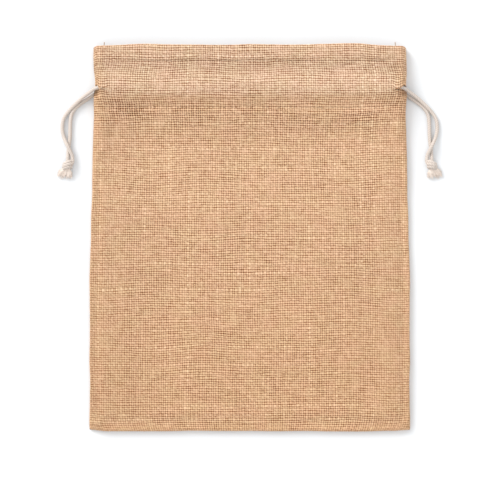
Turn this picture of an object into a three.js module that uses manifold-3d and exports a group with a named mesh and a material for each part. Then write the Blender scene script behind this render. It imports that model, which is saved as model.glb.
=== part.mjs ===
// Drawstring gift pouch of jute cloth, lying flat on its back. Front and back are sewn together at the sides
// and the bottom, with the seam allowances inside. A hem turned in round the mouth makes a casing for two
// cotton drawstrings: each goes in at one side, round the far side and back, and its two ends share one knot.
//
// Millimetres. X runs across the pouch, +Y points to the mouth and +Z up through the front. The origin is the
// middle of the pouch, on the surface that it lies on.
import * as THREE from "three";
import { mergeVertices } from "three/addons/utils/BufferGeometryUtils.js";
import Module from "manifold-3d";

const wasm = await Module();
wasm.setup();

// ---- the cloth ----
const LENGTH = 303; // bottom seam to mouth fold
const HALF_WIDTH = 125.6; // at the bottom
const TAPER = 3.2; // how much narrower each side is at the mouth
const WAIST = 1.2; // how far the cords draw each side in
const CLOTH = 0.8; // thickness of one layer
const GAP = 0.3; // clearance between sewn layers
const SIDE_ROUND = 14; // width of the rounded side of the body
const HEADER_ROUND = 7; // the same beside the casing
const BOTTOM_ROUND = 16;

// ---- the drawstrings ----
const CORD = 2.7; // diameter
const CORD_SIDES = 8;
const CORD_GAP = 0.2; // clearance round a cord in its casing
const CORD_Y = 119; // middle of the two cords in the casing
const CORD_PITCH = 3.2; // from one cord to the other, side by side
const LOOP_OUT = 112.5; // where a loop ends and its tails begin
const LOOP_FAR = 106.5; // where a loop starts to turn at the far side

// ---- the header ----
const MOUTH_Y = LENGTH / 2;
const UPPER_ROW = 138.3; // upper row of stitches, above the cords
const LOWER_ROW = 103; // lower row, below them
const CREST = 5; // half the width of the casing's flat crest
const HEM_EDGE = LOWER_ROW - 2.5; // raw edge of the turned-in hem
const HEM_HALF = 106;
const MOUTH_GAP = 4.3; // height of the open mouth

// ---- heights ----
const BACK_TOP = CLOTH;
const SEAM_Z = BACK_TOP + GAP; // lower rim of the front panel
const BACK_RUN_Z = BACK_TOP + CORD_GAP + CORD / 2;
const BACK_HEM_TOP = BACK_RUN_Z + CORD / 2 + CORD_GAP + CLOTH;
const FRONT_HEM_Z = BACK_HEM_TOP + MOUTH_GAP; // underside of the front hem and of the body's front
const FRONT_RUN_Z = FRONT_HEM_Z + CLOTH + CORD_GAP + CORD / 2;
const CASING_Z = FRONT_RUN_Z + CORD / 2 + CORD_GAP; // underside of the front panel over the cords
const ROW_Z = FRONT_HEM_Z + CLOTH + CORD_GAP; // underside of the front panel at the stitch rows

// ---- the slit that each cord leaves by ----
const SLIT_IN = 114;
const SLIT_LOW = 110.8;
const SLIT_HIGH = 123;

// ---- seams and thread ----
const ALLOWANCE = 2 * CLOTH; // two cloths, turned in together
const ALLOWANCE_IN = 108;
const ALLOWANCE_OUT = 120.6;
const BOTTOM_IN = -138;
const BOTTOM_OUT = -149;
const THREAD = 0.7;
const TACK = { across: 1.2, along: 4, high: 0.9 };

// ---- knots and frayed ends, measured outwards from the pouch's middle ----
const KNOT = { x: 142.9, y: 57, z: 3.2, wrap: 2.65, tilt: 22, apart: 1.45 };
const FRONT_END = { x: 146.3, y: 53.2, angle: -33, length: 7.2, width: 2.9 };
const BACK_END = { x: 142.1, y: 52.4, angle: -96, length: 6.6, width: 3.3 };

// The two visible strands of a drawstring, as points (outwards, towards the mouth, up) from slit to knot.
// The front one rests against the back one halfway down, and crosses over it just before the knot.
const FRONT_TAIL = [
  [118.3, 117.9, 9.9], [121.6, 116.7, 7.6], [125.6, 114, 5.6], [130.4, 110.6, 4.2], [134, 107.6, 3.4],
  [137.2, 104.6, 3.0], [139.9, 102, 2.5], [142.3, 99.4, 1.8], [144.6, 96.5, 1.45], [146.3, 93.2, 1.45],
  [147.2, 88.2, 1.45], [147, 83.4, 1.45], [146.1, 79.6, 1.7], [144.7, 76, 2.9], [142.9, 72.4, 4.35],
  [140.9, 68.4, 3.9], [139.4, 64.8, 3.1], [139.1, 62.6, 2.9],
];
const BACK_TAIL = [
  [117.4, 116.9, 2.4], [119.6, 114.8, 2.4], [122.7, 112.5, 2.35], [126.6, 109.8, 1.5], [130.6, 107.1, 1.45],
  [134.2, 104.4, 1.45], [137, 101.8, 1.45], [139.1, 98.8, 1.45], [140.4, 95.2, 1.45], [140.9, 91, 1.45],
  [141.1, 85.6, 1.45], [141.2, 79.8, 1.45], [141.7, 74.4, 1.45], [142.4, 69.4, 1.45], [142.7, 65.4, 1.9],
  [142.8, 62.4, 2.7],
];

const JUTE = new THREE.MeshStandardMaterial({ color: 0xd7ae8a, roughness: 0.95, metalness: 0 });
const JUTE_INSIDE = new THREE.MeshStandardMaterial({ color: 0xc79d78, roughness: 0.95, metalness: 0 });
const COTTON = new THREE.MeshStandardMaterial({ color: 0xeadfce, roughness: 0.9, metalness: 0 });
const THREAD_TAN = new THREE.MeshStandardMaterial({ color: 0xcfa984, roughness: 0.8, metalness: 0 });

function smooth(from, to, value) {
  return THREE.MathUtils.smoothstep(value, from, to);
}

// ---- solids ----

function bare(geometry) {
  const copy = geometry.index ? geometry.clone() : mergeVertices(geometry);
  copy.deleteAttribute("normal");
  copy.deleteAttribute("uv");
  return mergeVertices(copy, 1e-4);
}

function solid(geometry) {
  const merged = bare(geometry);
  return new wasm.Manifold(
    new wasm.Mesh({
      numProp: 3,
      vertProperties: new Float32Array(merged.attributes.position.array),
      triVerts: new Uint32Array(merged.index.array),
    }),
  );
}

function geometryOf(manifold) {
  const mesh = manifold.getMesh();
  const geometry = new THREE.BufferGeometry();
  geometry.setAttribute("position", new THREE.BufferAttribute(mesh.vertProperties, 3));
  geometry.setIndex(new THREE.BufferAttribute(mesh.triVerts, 1));
  geometry.computeVertexNormals();
  return geometry;
}

function joined(geometries) {
  const solids = geometries.map(solid);
  return geometryOf(solids.slice(1).reduce((all, next) => all.add(next), solids[0]));
}

function block(low, high) {
  const size = high.map((value, axis) => value - low[axis]);
  const box = new THREE.BoxGeometry(...size);
  return box.translate(...low.map((value, axis) => value + size[axis] / 2));
}

// A layer of cloth: a flat box of cells, bent onto the middle surface(u, v), as thick as the cloth all over.
function layer(cellsX, cellsY, surface) {
  const box = new THREE.BoxGeometry(1, 1, 1, cellsX, cellsY, 1);
  const place = box.attributes.position;
  const step = 1e-3;
  for (let i = 0; i < place.count; i++) {
    const u = place.getX(i) + 0.5;
    const v = place.getY(i) + 0.5;
    const middle = surface(u, v);
    const along = surface(Math.min(u + step, 1), v).sub(surface(Math.max(u - step, 0), v));
    const up = surface(u, Math.min(v + step, 1)).sub(surface(u, Math.max(v - step, 0)));
    const normal = along.cross(up).normalize();
    middle.addScaledVector(normal, place.getZ(i) * CLOTH);
    place.setXYZ(i, middle.x, middle.y, middle.z);
  }
  return box;
}

function tube(path, steps, diameter, sides) {
  const section = new THREE.Shape().absarc(0, 0, diameter / 2, 0, 2 * Math.PI);
  return new THREE.ExtrudeGeometry(section, { extrudePath: path, steps, curveSegments: sides / 2 });
}

// ---- the shape of the cloth ----

function halfWidth(y) {
  const drawnIn = WAIST * Math.exp(-(((y - CORD_Y - 1) / 8) ** 2));
  return HALF_WIDTH - TAPER * smooth(-60, 125, y) - drawnIn;
}

// 0 at the stitch rows, 1 over the cords
function casing(y) {
  return smooth(LOWER_ROW, CORD_Y - CREST, y) * (1 - smooth(CORD_Y + CREST, UPPER_ROW, y));
}

function frontUnderside(y) {
  const overHem = smooth(HEM_EDGE - 7, HEM_EDGE - 1, y);
  const row = FRONT_HEM_Z + (ROW_Z - FRONT_HEM_Z) * overHem;
  return row + (CASING_Z - ROW_Z) * casing(y);
}

// Across the front: a rounded side, a flat middle, a rounded side. Gives the place and the share of full
// height.
const SIDE_CELLS = 5;
const MIDDLE_CELLS = 6;
const ACROSS_CELLS = 2 * SIDE_CELLS + MIDDLE_CELLS;

function across(u, y) {
  const half = halfWidth(y) - CLOTH / 2;
  const round = SIDE_ROUND + (HEADER_ROUND - SIDE_ROUND) * smooth(70, HEM_EDGE, y);
  const cell = u * ACROSS_CELLS;
  const fromSide = Math.min(cell, ACROSS_CELLS - cell);
  const side = cell < ACROSS_CELLS / 2 ? -1 : 1;
  if (fromSide < SIDE_CELLS) {
    const angle = (fromSide / SIDE_CELLS) * (Math.PI / 2);
    return { x: side * (half - round * (1 - Math.cos(angle))), rise: Math.sin(angle) };
  }
  const flat = (cell - ACROSS_CELLS / 2) / (MIDDLE_CELLS / 2);
  return { x: flat * (half - round), rise: 1 };
}

// Up the front: a rounded bottom, the plain body, then the header in finer cells.
const BOTTOM_CELLS = 4;
const BODY_CELLS = 5;
const HEADER_CELLS = 15;
const UP_CELLS = BOTTOM_CELLS + BODY_CELLS + HEADER_CELLS;

function upFront(v) {
  const low = -LENGTH / 2 + CLOTH / 2;
  const bodyLow = low + BOTTOM_ROUND;
  const bodyHigh = HEM_EDGE - 8;
  const cell = v * UP_CELLS;
  if (cell < BOTTOM_CELLS) {
    const angle = (cell / BOTTOM_CELLS) * (Math.PI / 2);
    return { y: low + BOTTOM_ROUND * (1 - Math.cos(angle)), rise: Math.sin(angle) };
  }
  if (cell < BOTTOM_CELLS + BODY_CELLS) {
    return { y: bodyLow + ((cell - BOTTOM_CELLS) / BODY_CELLS) * (bodyHigh - bodyLow), rise: 1 };
  }
  const header = (cell - BOTTOM_CELLS - BODY_CELLS) / HEADER_CELLS;
  return { y: bodyHigh + header * (MOUTH_Y - bodyHigh), rise: 1 };
}

function frontPanel() {
  const sheet = layer(ACROSS_CELLS, UP_CELLS, (u, v) => {
    const up = upFront(v);
    const side = across(u, up.y);
    const height = frontUnderside(up.y) + CLOTH / 2 - SEAM_Z;
    return new THREE.Vector3(side.x, up.y, SEAM_Z + height * side.rise * up.rise);
  });
  const left = block([-HALF_WIDTH - 5, SLIT_LOW, 0], [-SLIT_IN, SLIT_HIGH, 20]);
  const right = block([SLIT_IN, SLIT_LOW, 0], [HALF_WIDTH + 5, SLIT_HIGH, 20]);
  return geometryOf(solid(sheet).subtract(solid(left)).subtract(solid(right)));
}

function backPanel() {
  return layer(2, 40, (u, v) => {
    const y = (v - 0.5) * LENGTH;
    return new THREE.Vector3((2 * u - 1) * halfWidth(y), y, CLOTH / 2);
  });
}

// A hem from its raw edge up to just short of the mouth fold, raised where it passes over the cords.
function hem(underside, raised) {
  const top = MOUTH_Y - CLOTH;
  return layer(2, 18, (u, v) => {
    const y = HEM_EDGE + v * (top - HEM_EDGE);
    const z = underside + raised * casing(y) + CLOTH / 2;
    return new THREE.Vector3((2 * u - 1) * HEM_HALF, y, z);
  });
}

function allowance(side, low, high) {
  const inner = side * ALLOWANCE_IN;
  const outer = side * ALLOWANCE_OUT;
  return block([Math.min(inner, outer), low, SEAM_Z], [Math.max(inner, outer), high, SEAM_Z + ALLOWANCE]);
}

function stitchRow(from, to) {
  const path = new THREE.LineCurve3(new THREE.Vector3(...from), new THREE.Vector3(...to));
  return tube(path, 1, THREAD, 6);
}

function tack(side, y) {
  const x = side * (ALLOWANCE_OUT - 3.5);
  const low = SEAM_Z + ALLOWANCE + GAP;
  const across = TACK.across / 2;
  const along = TACK.along / 2;
  return block([x - across, y - along, low], [x + across, y + along, low + TACK.high]);
}

// ---- the drawstrings ----

// The half turn at the far end of a loop, from the front casing round to the back one.
class FarTurn extends THREE.Curve {
  constructor(side, y) {
    super();
    this.side = side;
    this.y = y;
  }

  getPoint(t) {
    const radius = (FRONT_RUN_Z - BACK_RUN_Z) / 2;
    const x = -this.side * (LOOP_FAR + radius * Math.sin(Math.PI * t));
    return new THREE.Vector3(x, this.y, BACK_RUN_Z + radius * (1 + Math.cos(Math.PI * t)));
  }
}

function runY(side) {
  return CORD_Y - (side * CORD_PITCH) / 2;
}

function cordLoop(side) {
  const y = runY(side);
  const overlap = 0.2;
  const run = (z) => {
    const out = new THREE.Vector3(side * LOOP_OUT, y, z);
    const far = new THREE.Vector3(-side * (LOOP_FAR + overlap), y, z);
    return tube(new THREE.LineCurve3(out, far), 1, CORD, CORD_SIDES);
  };
  return joined([run(FRONT_RUN_Z), run(BACK_RUN_Z), tube(new FarTurn(side, y), 8, CORD, CORD_SIDES)]);
}

// A strand goes straight out of the casing, then over or under the slit's edge and down to the knot.
function tail(side, z, route, steps) {
  const start = LOOP_OUT + GAP;
  const points = [[start, runY(side), z], [start + 1.2, runY(side), z], ...route];
  const path = new THREE.CatmullRomCurve3(points.map(([x, y, up]) => new THREE.Vector3(side * x, y, up)));
  return tube(path, steps, CORD, CORD_SIDES);
}

// An overhand knot in the doubled cord: two slanting wraps round a core.
function knot(side) {
  const core = new THREE.SphereGeometry(2.7, 12, 8).scale(1.05, 1.25, 1);
  const wraps = [-1, 1].map((end) => {
    const ring = new THREE.TorusGeometry(KNOT.wrap, CORD / 2, 8, 16).rotateX(Math.PI / 2);
    return ring.rotateZ(end * side * THREE.MathUtils.degToRad(KNOT.tilt)).translate(0, end * KNOT.apart, 0);
  });
  return joined([core, ...wraps]).scale(1, 1, 0.78).translate(side * KNOT.x, KNOT.y, KNOT.z);
}

// A cord's frayed end: fibres that open out into a flat fan.
function frayedEnd(side, end) {
  const { length, width } = end;
  const outline = [
    [0, 0], [1, 0], [1.3, 0.25 * length], [0.8 * width, 0.6 * length],
    [width, 0.85 * length], [0.7 * width, length], [0, 1.03 * length],
  ];
  const fan = new THREE.LatheGeometry(outline.map(([r, y]) => new THREE.Vector2(r, y)), 10);
  fan.scale(1, 1, 0.5).rotateZ(side * THREE.MathUtils.degToRad(end.angle - 90));
  const down = 0.5 * width + 0.15;
  return fan.translate(side * end.x, end.y, down);
}

// ---- assembly ----

const pouch = new THREE.Group();

function add(name, geometry, material) {
  const mesh = new THREE.Mesh(geometry, material);
  mesh.name = name;
  pouch.add(mesh);
}

add("front_panel", frontPanel(), JUTE);
add("back_panel", backPanel(), JUTE);
add("front_hem", hem(FRONT_HEM_Z, 0), JUTE_INSIDE);
add("back_hem", hem(BACK_TOP + CORD_GAP, BACK_HEM_TOP - BACK_TOP - CORD_GAP - CLOTH), JUTE_INSIDE);

const bottomHalf = ALLOWANCE_IN - 3;
const bottomTop = SEAM_Z + ALLOWANCE;
const bottomAllowance = block([-bottomHalf, BOTTOM_OUT, SEAM_Z], [bottomHalf, BOTTOM_IN, bottomTop]);
add("bottom_seam_allowance", bottomAllowance, JUTE_INSIDE);

const overAllowance = bottomTop + GAP + THREAD / 2;
const seamLine = BOTTOM_OUT + 3.5;
const bottomSeam = stitchRow([-bottomHalf, seamLine, overAllowance], [bottomHalf, seamLine, overAllowance]);
add("bottom_stitching", bottomSeam, THREAD_TAN);

const frontRowZ = ROW_Z + CLOTH + GAP + THREAD / 2;
const backRowZ = BACK_TOP + CORD_GAP + CLOTH + GAP + THREAD / 2;
for (const [row, y] of [["lower", LOWER_ROW - 0.8], ["upper", UPPER_ROW + 0.8]]) {
  add(`front_${row}_stitching`, stitchRow([-HEM_HALF, y, frontRowZ], [HEM_HALF, y, frontRowZ]), THREAD_TAN);
  add(`back_${row}_stitching`, stitchRow([-HEM_HALF, y, backRowZ], [HEM_HALF, y, backRowZ]), THREAD_TAN);
}

for (const [name, side] of [["left", -1], ["right", 1]]) {
  const seamX = side * (ALLOWANCE_OUT - 1.2);
  add(`${name}_seam_allowance`, allowance(side, BOTTOM_OUT, SLIT_LOW - 1), JUTE_INSIDE);
  add(`${name}_header_allowance`, allowance(side, SLIT_HIGH + 2, MOUTH_Y - 2), JUTE_INSIDE);
  add(`${name}_side_stitching`,
    stitchRow([seamX, BOTTOM_OUT + 14, overAllowance], [seamX, SLIT_LOW - 8, overAllowance]), THREAD_TAN);
  add(`${name}_lower_tack`, tack(side, SLIT_LOW - 4), THREAD_TAN);
  add(`${name}_upper_tack`, tack(side, SLIT_HIGH + 5), THREAD_TAN);

  add(`${name}_cord_loop`, cordLoop(side), COTTON);
  add(`${name}_front_tail`, tail(side, FRONT_RUN_Z, FRONT_TAIL, 24), COTTON);
  add(`${name}_back_tail`, tail(side, BACK_RUN_Z, BACK_TAIL, 20), COTTON);
  add(`${name}_knot`, knot(side), COTTON);
  add(`${name}_front_end`, frayedEnd(side, FRONT_END), COTTON);
  add(`${name}_back_end`, frayedEnd(side, BACK_END), COTTON);
}

export default pouch;
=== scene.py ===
"""Drawstring gift pouch of jute, lying flat: its looks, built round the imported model."""
import math

import bpy
import numpy as np
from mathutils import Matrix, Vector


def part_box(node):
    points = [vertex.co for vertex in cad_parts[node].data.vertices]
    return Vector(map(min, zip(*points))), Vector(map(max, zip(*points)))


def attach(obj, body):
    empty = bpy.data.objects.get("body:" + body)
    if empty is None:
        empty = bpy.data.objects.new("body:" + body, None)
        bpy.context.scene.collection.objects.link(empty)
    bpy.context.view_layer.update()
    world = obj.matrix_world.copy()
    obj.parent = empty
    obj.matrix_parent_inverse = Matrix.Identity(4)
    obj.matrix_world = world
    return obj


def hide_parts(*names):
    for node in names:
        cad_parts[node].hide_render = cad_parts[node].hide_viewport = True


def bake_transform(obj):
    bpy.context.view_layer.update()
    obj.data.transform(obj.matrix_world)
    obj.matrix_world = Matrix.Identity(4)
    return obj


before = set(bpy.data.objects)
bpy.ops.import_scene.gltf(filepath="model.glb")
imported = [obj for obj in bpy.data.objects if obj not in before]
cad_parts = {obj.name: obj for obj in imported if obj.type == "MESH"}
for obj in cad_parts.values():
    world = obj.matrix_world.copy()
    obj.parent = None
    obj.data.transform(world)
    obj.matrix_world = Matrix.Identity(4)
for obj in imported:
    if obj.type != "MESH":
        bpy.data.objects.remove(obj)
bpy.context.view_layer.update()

MM = 0.001


# ---- sizes, in millimetres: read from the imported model, or the same numbers as in it ----

def box_mm(node):
    """A node's lowest and highest corners at rest."""
    low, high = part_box(node)
    return np.array(low) / MM, np.array(high) / MM


BACK_LOW, BACK_HIGH = box_mm("back_panel")
FRONT_LOW, FRONT_HIGH = box_mm("front_panel")
HEM_LOW, HEM_HIGH = box_mm("front_hem")
BACK_HEM_TOP = box_mm("back_hem")[1][2]

CLOTH = 0.8  # one layer's thickness
HALF_WIDTH = BACK_HIGH[0]  # at the bottom
TAPER = 3.2  # each side, towards the mouth
WAIST = 1.2  # how far the cords draw each side in
BOTTOM_Y = BACK_LOW[1]
MOUTH_Y = BACK_HIGH[1]
SEAM_Z = FRONT_LOW[2]
BODY_TOP = HEM_LOW[2] + CLOTH  # top of the front, below the hem
ROW_TOP = BODY_TOP + 1.0  # the same at the stitch rows
CASING_TOP = FRONT_HIGH[2]  # and over the cords
CORD_Y = 119.0  # between the two drawstrings' runs
CREST = 5.0  # half the casing's flat top
UPPER_ROW = 138.3  # the stitch rows above and below the casing
LOWER_ROW = 103.0
HEM_EDGE = HEM_LOW[1]
HEM_HALF = HEM_HIGH[0]
SIDE_ROUND = 14.0  # how wide the body is rounded at its sides
HEADER_ROUND = 7.0  # the same beside the casing
BOTTOM_ROUND = 16.0
FOLD = 0.9  # radius of the fold at the mouth
NECK_Y = 117.6  # the line between body and frill, where the cords' slits open
SLIT_IN = 115.0  # where a slit starts, from the middle
MOUTH_OUT = 117.9  # where a cord comes out from under the cloth, onto the front

WARP = 1.78  # from one upright thread to the next
WEFT = 1.80  # from one cross thread to the next
USUAL_OPENNESS = 0.62  # of the weave: 0 is closed, 1 shows every hole

SIDES = (("left", -1), ("right", 1))


def smooth(low, high, value):
    """0 below low, 1 above high, smooth between them."""
    t = np.clip((value - low) / (high - low), 0, 1)
    return t * t * (3 - 2 * t)


def plateau(low, full, still_full, end, value):
    """1 from full to still_full, falling smoothly to 0 at low and at end."""
    return smooth(low, full, value) * (1 - smooth(still_full, end, value))


def bump(centre, width, value):
    """1 at the centre, falling to 0 on both sides."""
    return np.exp(-((value - centre) / width) ** 2)


def run_along(path):
    """How far along a path each of its points is."""
    return np.concatenate([[0], np.cumsum(np.linalg.norm(np.diff(path, axis=0), axis=1))])


def points_at(places, run, path):
    """Points of a path at chosen distances along it."""
    return np.stack([np.interp(places, run, values) for values in path.T], axis=1)


def lattice_noise(x, y, seed):
    """Smooth noise from -1 to 1, one feature for each unit of x and y."""
    x, y = np.broadcast_arrays(np.asarray(x, float), np.asarray(y, float))
    column, row = np.floor(x).astype(int), np.floor(y).astype(int)
    first_column, first_row = column.min(), row.min()
    size = (row.max() - first_row + 2, column.max() - first_column + 2)
    values = np.random.default_rng(seed).uniform(-1, 1, size)
    fx, fy = smooth(0, 1, x - column), smooth(0, 1, y - row)
    r, c = row - first_row, column - first_column
    low = values[r, c] * (1 - fx) + values[r, c + 1] * fx
    high = values[r + 1, c] * (1 - fx) + values[r + 1, c + 1] * fx
    return low * (1 - fy) + high * fy


def placed(name, data):
    """A new object in the scene."""
    thing = bpy.data.objects.new(name, data)
    bpy.context.collection.objects.link(thing)
    return thing


# ---- camera ----

VIEW_WIDTH = 0.393  # what the picture takes in, at the surface
LENS = 150.0
SENSOR = 36.0

camera_data = bpy.data.cameras.new("camera")
camera_data.lens = LENS
camera_data.sensor_width = SENSOR
camera = placed("camera", camera_data)
camera.location = (0.0002, -0.0094, VIEW_WIDTH * LENS / SENSOR)
bpy.context.scene.camera = camera


# ---- materials ----

def connect(tree, value, socket):
    """A socket takes a wire or another node's output, or keeps a plain value."""
    if isinstance(value, Wire):
        value = value.socket
    if isinstance(value, bpy.types.NodeSocket):
        tree.links.new(value, socket)
    else:
        socket.default_value = value


def add_node(tree, kind, inputs, **settings):
    """A new node, with what each of its inputs takes, by name or number."""
    node = tree.nodes.new(kind)
    for name, value in settings.items():
        setattr(node, name, value)
    for place, value in inputs.items():
        connect(tree, value, node.inputs[place])
    return node


class Wire:
    """A number in a node tree: arithmetic on wires adds Math nodes."""

    def __init__(self, tree, socket):
        self.tree, self.socket = tree, socket

    def math(self, operation, *others, clamp=False):
        inputs = dict(enumerate((self, *others)))
        node = add_node(self.tree, "ShaderNodeMath", inputs, operation=operation, use_clamp=clamp)
        return Wire(self.tree, node.outputs[0])

    def __add__(self, other):
        return self.math("ADD", other)

    def __sub__(self, other):
        return self.math("SUBTRACT", other)

    def __mul__(self, other):
        return self.math("MULTIPLY", other)

    def fraction(self):
        return self.math("FRACT")

    def floor(self):
        return self.math("FLOOR")

    def flipped(self):
        """1 minus this."""
        return (self * -1.0) + 1.0

    def clamped(self):
        """Held between 0 and 1."""
        return self.math("ADD", 0.0, clamp=True)

    def step(self, low, high):
        """0 below low, 1 above high, smooth between them."""
        inputs = {"Value": self, "From Min": low, "From Max": high}
        node = add_node(self.tree, "ShaderNodeMapRange", inputs, interpolation_type="SMOOTHSTEP")
        return Wire(self.tree, node.outputs["Result"])


class Finish:
    """A material, its node tree, and short ways to add nodes to it."""

    def __init__(self, name, roughness, sheen=0.0, specular=0.2):
        self.material = bpy.data.materials.new(name)
        self.material.use_nodes = True
        self.tree = self.material.node_tree
        self.inputs = self.tree.nodes["Principled BSDF"].inputs
        self.inputs["Roughness"].default_value = roughness
        self.inputs["Specular IOR Level"].default_value = specular
        self.inputs["Sheen Weight"].default_value = sheen
        self.inputs["Sheen Roughness"].default_value = 0.5

    def attribute(self, name):
        """The three parts of a vector kept on the mesh."""
        node = add_node(self.tree, "ShaderNodeAttribute", {}, attribute_name=name)
        split = add_node(self.tree, "ShaderNodeSeparateXYZ", {0: node.outputs["Vector"]})
        return [Wire(self.tree, output) for output in split.outputs]

    def vector(self, x, y, z=0.0):
        return add_node(self.tree, "ShaderNodeCombineXYZ", {0: x, 1: y, 2: z}).outputs[0]

    def noise(self, x, y, z=0.0, detail=1.0):
        inputs = {"Scale": 1.0, "Detail": detail, "Vector": self.vector(x, y, z)}
        return Wire(self.tree, add_node(self.tree, "ShaderNodeTexNoise", inputs).outputs[0])

    def random(self, x, seed):
        """One random number from 0 to 1 for each whole x."""
        inputs = {"Vector": self.vector(x, seed)}
        node = add_node(self.tree, "ShaderNodeTexWhiteNoise", inputs, noise_dimensions="2D")
        return Wire(self.tree, node.outputs["Value"])

    def blend(self, share, low, high):
        """A colour between two, by a wire from 0 to 1."""
        node = add_node(self.tree, "ShaderNodeMix", {"Factor": share}, data_type="RGBA")
        ends = [socket for socket in node.inputs if socket.type == "RGBA"]
        for socket, value in zip(ends, (low, high)):
            connect(self.tree, (*value, 1.0) if isinstance(value, tuple) else value, socket)
        return next(socket for socket in node.outputs if socket.type == "RGBA")

    def shade(self, colour, painted_light):
        """A colour made darker or lighter by a wire: painted light and shade."""
        inputs = {0: colour, "Scale": painted_light}
        return add_node(self.tree, "ShaderNodeVectorMath", inputs, operation="SCALE").outputs[0]

    def tint(self, colour, factors):
        inputs = {0: colour, 1: factors}
        return add_node(self.tree, "ShaderNodeVectorMath", inputs, operation="MULTIPLY").outputs[0]

    def paint(self, colour):
        connect(self.tree, colour, self.inputs["Base Color"])

    def relief(self, height, distance, strength):
        inputs = {"Distance": distance, "Strength": strength, "Height": height}
        node = add_node(self.tree, "ShaderNodeBump", inputs)
        connect(self.tree, node.outputs[0], self.inputs["Normal"])


COOL = (1.0, 1.125, 1.31)  # tints of the jute: cooler and greyer over the header, painted shade down in its gaps, and in patches
GAP_SHADE = (1.0, 0.63, 0.33)
PINKISH = (1.010, 0.988, 0.990)
GREENISH = (0.984, 1.012, 0.974)


def jute_finish(name, dark, light, hole):
    """Woven jute. The mesh keeps each point's place in threads, how open it is, its painted light and shade,
    and how much cooler tint it takes.
    """
    finish = Finish(name, 0.95, specular=0.08)
    u, v, seed = finish.attribute("weave")
    openness, painted_light, cooler = finish.attribute("openness_and_light")
    u = u + (finish.noise(u * 0.45, v * 0.75, seed) - 0.5) * 0.24
    v = v + (finish.noise(u * 0.75, v * 0.45, seed + 9.0) - 0.5) * 0.34
    warp, weft = u.floor(), v.floor()
    from_warp = (u.fraction() - 0.5).math("ABSOLUTE")
    from_weft = (v.fraction() - 0.5).math("ABSOLUTE")

    # each thread's own thickness, with slubs along it
    warp_slub = finish.noise(warp * 5.3, v * 0.33, seed + 3.0).step(0.25, 0.75)
    weft_slub = finish.noise(u * 0.28, weft * 4.7, seed + 5.0).step(0.25, 0.75)
    drawn_thin = (openness - USUAL_OPENNESS) * 0.05
    warp_half = warp_slub * 0.09 + 0.225 - drawn_thin
    weft_half = weft_slub * 0.11 + 0.175 - drawn_thin
    beside_warp = from_warp.step(warp_half, warp_half + 0.18)
    beside_weft = from_weft.step(weft_half, weft_half + 0.18)

    # which thread is on top: they take turns
    on_top = ((warp + weft) * 0.5).fraction().step(0.2, 0.3)
    warp_streak = finish.noise(u * 9.0, v * 1.3, seed, 2.0)
    weft_streak = finish.noise(u * 1.3, v * 9.0, seed + 2.0, 2.0)
    streak = (warp_streak * on_top + weft_streak * on_top.flipped()).step(0.25, 0.75)

    warp_tone = finish.random(warp, 1.7)
    weft_tone = finish.random(weft, 6.1)
    crossing = finish.random(warp, weft)
    warp_stretch = finish.noise(warp * 3.7, v * 0.03, seed).step(0.42, 0.62)
    weft_stretch = finish.noise(u * 0.02, weft * 3.1, seed).step(0.42, 0.62)
    pale_warp = finish.random(warp, 8.3).step(0.70, 1.0) * warp_stretch
    pale_weft = finish.random(weft, 4.9).step(0.70, 1.0) * weft_stretch
    pale = pale_warp * on_top + pale_weft * on_top.flipped()
    tone = streak * 0.32 + crossing * 0.13 + warp_tone * 0.06 + weft_tone * 0.08 + pale * 0.34 + 0.16
    colour = finish.blend(tone.clamped(), dark, light)
    warm = finish.shade(colour, painted_light)
    colour = finish.blend(cooler, warm, finish.tint(warm, COOL))
    patch = finish.noise(u * 0.10, v * 0.13, seed + 12.0, 3.0).step(0.35, 0.65)
    colour = finish.blend(patch, finish.tint(colour, PINKISH), finish.tint(colour, GREENISH))

    # painted shade: threads darken towards their sides, and painted shadow shows in a hole where four of them
    # meet
    gap = finish.random(warp + 40.0, weft)
    sunk_warp = beside_weft * (weft_tone * 0.08 + gap * 0.36 + 0.13)
    sunk_weft = beside_warp * (warp_tone * 0.08 + gap * 0.30 + 0.04)
    shade = sunk_warp.flipped() * sunk_weft.flipped()
    sunk = finish.tint(finish.shade(warm, shade), GAP_SHADE)
    depth = (sunk_warp.math("MAXIMUM", sunk_weft) * 1.6).math("MINIMUM", 1.0)
    colour = finish.blend(depth, finish.shade(colour, shade), sunk)
    through = beside_warp * beside_weft * openness * (gap * 1.1 + 0.45)
    colour = finish.blend(through.clamped(), colour, hole)
    finish.paint(colour)

    warp_high = from_warp.math("POWER", 2.0) * -3.2 + on_top * 0.55
    weft_high = from_weft.math("POWER", 2.0) * -3.2 + on_top.flipped() * 0.55
    height = warp_high.math("MAXIMUM", weft_high) + streak * 0.15 - through * 0.8
    finish.relief(height, 0.45 * MM, 0.9)
    return finish.material


def cotton_finish():
    """Twisted cotton. The mesh keeps each point's place along and round the cord, and its groove's depth with
    any painted shade, which darkens the colour.
    """
    finish = Finish("cotton_cord", 0.9, 0.15)
    along, turn, groove = finish.attribute("ply")
    fibre = finish.noise(along * 0.55, turn * 9.0, 0.0, 2.0)
    fluff = finish.noise(along * 0.35, turn * 1.5, 7.0, 2.0)
    tone = fibre * 0.65 + fluff * 0.55 - 0.1
    colour = finish.blend(tone.clamped(), (0.53, 0.46, 0.405), (0.65, 0.575, 0.52))
    # painted shade in the grooves between plies, and on tubes given a shade
    colour = finish.shade(colour, groove * -0.22 + 1.0)
    finish.paint(colour)
    finish.relief(fibre + fluff * 0.5, 0.12 * MM, 0.6)
    return finish.material


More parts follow.
